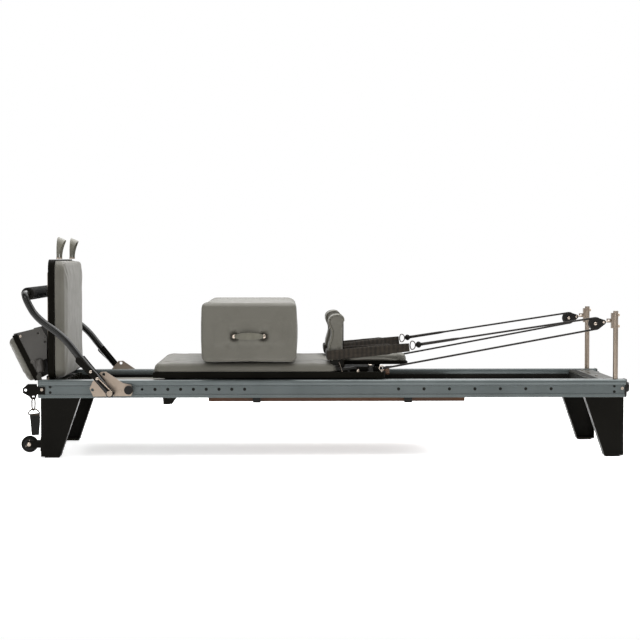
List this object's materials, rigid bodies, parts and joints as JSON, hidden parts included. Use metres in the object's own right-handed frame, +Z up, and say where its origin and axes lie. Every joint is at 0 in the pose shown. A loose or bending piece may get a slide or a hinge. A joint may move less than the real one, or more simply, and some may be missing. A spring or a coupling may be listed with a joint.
{
  "type": "pilates reformer",
  "caption": "Pilates reformer with a sprung sliding carriage, foot bar, jump board, sitting box, headrest, shoulder rests and rope risers.",
  "frame": {"origin": "middle of the machine's outline on the floor, at the height of the rubber pads' undersides", "axes": "+X along the rails from the foot end to the head end, +Z up, +Y from the near side to the far side"},
  "size_m": [2.4474, 0.792, 0.863],
  "materials": {
    "rail_finish": "as seen",
    "track_aluminium": "as seen",
    "grey_steel": "as seen",
    "black_steel": "as seen",
    "stainless": "as seen",
    "spring_steel": "as seen",
    "black_plastic": "as seen",
    "copper_plastic": "as seen",
    "rubber": "as seen",
    "deck_laminate": "as seen",
    "walnut": "as seen",
    "black_board": "as seen",
    "grey_vinyl": "as seen",
    "black_webbing": "as seen",
    "black_rope": "as seen"
  },
  "bodies": {
    "frame": {"carriage_tracks": "track_aluminium", "cross_brace": "black_steel", "deck_board": "deck_laminate", "end_brackets": "black_steel", "far_rail": "rail_finish", "foot_crossmember": "black_steel", "foot_legs": "black_steel", "foot_pads": "rubber", "frame_bolts": "stainless", "head_crossmember": "grey_steel", "head_legs": "black_steel", "lower_board": "walnut", "lower_board_clips": "black_steel", "near_rail": "rail_finish", "post_eyes": "stainless", "pulley_blocks": "black_steel", "rail_end_caps": "black_plastic", "riser_posts": "stainless", "rope_far": "black_rope", "rope_near": "black_rope", "spring_bar": "stainless", "springs": "spring_steel", "wheel_brackets": "black_steel"},
    "carriage": {"carriage_base": "black_board", "carriage_pad": "grey_vinyl", "wheel_hangers": "black_steel", "spring_anchor": "black_steel", "shoulder_rests": "grey_vinyl", "shoulder_plates": "black_steel", "rope_fittings": "stainless", "hand_straps": "black_webbing", "rope_balls": "rubber"},
    "carriage_wheels_foot": {"carriage_wheels_foot": "rubber"},
    "carriage_wheels_head": {"carriage_wheels_head": "rubber"},
    "headrest": {"headrest_board": "black_board", "headrest_pad": "grey_vinyl"},
    "star_knob": {"star_knob": "copper_plastic"},
    "sitting_box": {"sitting_box": "grey_vinyl", "box_handles": "grey_vinyl"},
    "jump_board": {"jump_board": "black_board", "jump_board_pad": "grey_vinyl", "jump_board_posts": "stainless", "jump_board_loops": "grey_vinyl"},
    "foot_platform": {"platform_board": "black_board", "platform_pad": "grey_vinyl", "platform_side_plates": "stainless"},
    "footbar_slider": {"footbar_plates": "stainless"},
    "plunger_near": {"plunger_near": "black_plastic"},
    "plunger_far": {"plunger_far": "black_plastic"},
    "footbar": {"footbar_tube": "black_steel", "footbar_grip": "rubber", "footbar_latches": "stainless"},
    "hanging_strap": {"hanging_ring": "stainless", "hanging_strap": "black_webbing"},
    "transport_wheel_near": {"transport_wheel_near": "rubber"},
    "transport_wheel_far": {"transport_wheel_far": "rubber"},
    "sheave_near": {"sheave_near": "black_plastic"},
    "sheave_far": {"sheave_far": "black_plastic"},
    "post_knob_near": {"post_knob_near": "black_plastic"},
    "post_knob_far": {"post_knob_far": "black_plastic"}
  },
  "joints": [
    {"name": "carriage_slide", "type": "slide", "parent": "frame", "child": "carriage", "axis": [1, 0, 0], "range_m": [0, 0.62], "stiffness_N_per_m": 220, "springref_m": -0.15, "deforming": ["springs", "rope_near", "rope_far"]},
    {"name": "carriage_wheels_foot_roll", "type": "hinge", "parent": "carriage", "child": "carriage_wheels_foot", "pos_m": [-0.5765, 0, 0.2783], "axis": [0, 1, 0], "continuous": true},
    {"name": "carriage_wheels_head_roll", "type": "hinge", "parent": "carriage", "child": "carriage_wheels_head", "pos_m": [0.2035, 0, 0.2783], "axis": [0, 1, 0], "continuous": true},
    {"name": "headrest_tilt", "type": "hinge", "parent": "carriage", "child": "headrest", "pos_m": [0.1105, 0, 0.343], "axis": [0, -1, 0], "range_deg": [0, 28]},
    {"name": "star_knob_turn", "type": "hinge", "parent": "carriage", "child": "star_knob", "pos_m": [0.2683, -0.03, 0.321], "axis": [1, 0, 0], "range_deg": [-180, 180]},
    {"name": "sitting_box_lift", "type": "slide", "parent": "carriage", "child": "sitting_box", "axis": [0, 0, 1], "range_m": [0, 0.3]},
    {"name": "jump_board_lift", "type": "slide", "parent": "frame", "child": "jump_board", "axis": [0, 0, 1], "range_m": [0, 0.15]},
    {"name": "foot_platform_tilt", "type": "hinge", "parent": "frame", "child": "foot_platform", "pos_m": [-1.0945, 0, 0.312], "axis": [0, 1, 0], "range_deg": [0, 2.8]},
    {"name": "footbar_index", "type": "slide", "parent": "frame", "child": "footbar_slider", "axis": [1, 0, 0], "range_m": [-0.1, 0]},
    {"name": "plunger_near_pull", "type": "slide", "parent": "footbar_slider", "child": "plunger_near", "axis": [0, -1, 0], "range_m": [0, 0.008], "stiffness_N_per_m": 600, "springref_m": -0.01},
    {"name": "plunger_far_pull", "type": "slide", "parent": "footbar_slider", "child": "plunger_far", "axis": [0, 1, 0], "range_m": [0, 0.008], "stiffness_N_per_m": 600, "springref_m": -0.01},
    {"name": "footbar_tilt", "type": "hinge", "parent": "footbar_slider", "child": "footbar", "pos_m": [-0.8035, 0, 0.256], "axis": [0, 1, 0], "range_deg": [0, 4.5]},
    {"name": "hanging_strap_swing", "type": "hinge", "parent": "frame", "child": "hanging_strap", "pos_m": [-1.1065, -0.3265, 0.238], "axis": [0, 1, 0], "range_deg": [0, 25]},
    {"name": "transport_wheel_near_spin", "type": "hinge", "parent": "frame", "child": "transport_wheel_near", "pos_m": [-1.1255, -0.3, 0.052], "axis": [0, 1, 0], "continuous": true},
    {"name": "transport_wheel_far_spin", "type": "hinge", "parent": "frame", "child": "transport_wheel_far", "pos_m": [-1.1255, 0.3, 0.052], "axis": [0, 1, 0], "continuous": true},
    {"name": "sheave_near_spin", "type": "hinge", "parent": "frame", "child": "sheave_near", "pos_m": [1.0935, -0.3075, 0.522], "axis": [0, 1, 0], "continuous": true},
    {"name": "sheave_far_spin", "type": "hinge", "parent": "frame", "child": "sheave_far", "pos_m": [1.0935, 0.3075, 0.522], "axis": [0, 1, 0], "continuous": true},
    {"name": "post_knob_near_turn", "type": "hinge", "parent": "frame", "child": "post_knob_near", "pos_m": [1.2215, -0.3075, 0.272], "axis": [1, 0, 0], "range_deg": [-180, 180]},
    {"name": "post_knob_far_turn", "type": "hinge", "parent": "frame", "child": "post_knob_far", "pos_m": [1.2215, 0.3075, 0.272], "axis": [1, 0, 0], "range_deg": [-180, 180]}
  ],
  "couplings": [
    {"joint": "carriage_wheels_foot_roll", "follows": "carriage_slide", "rad_per_m": 50},
    {"joint": "carriage_wheels_head_roll", "follows": "carriage_slide", "rad_per_m": 50}
  ]
}
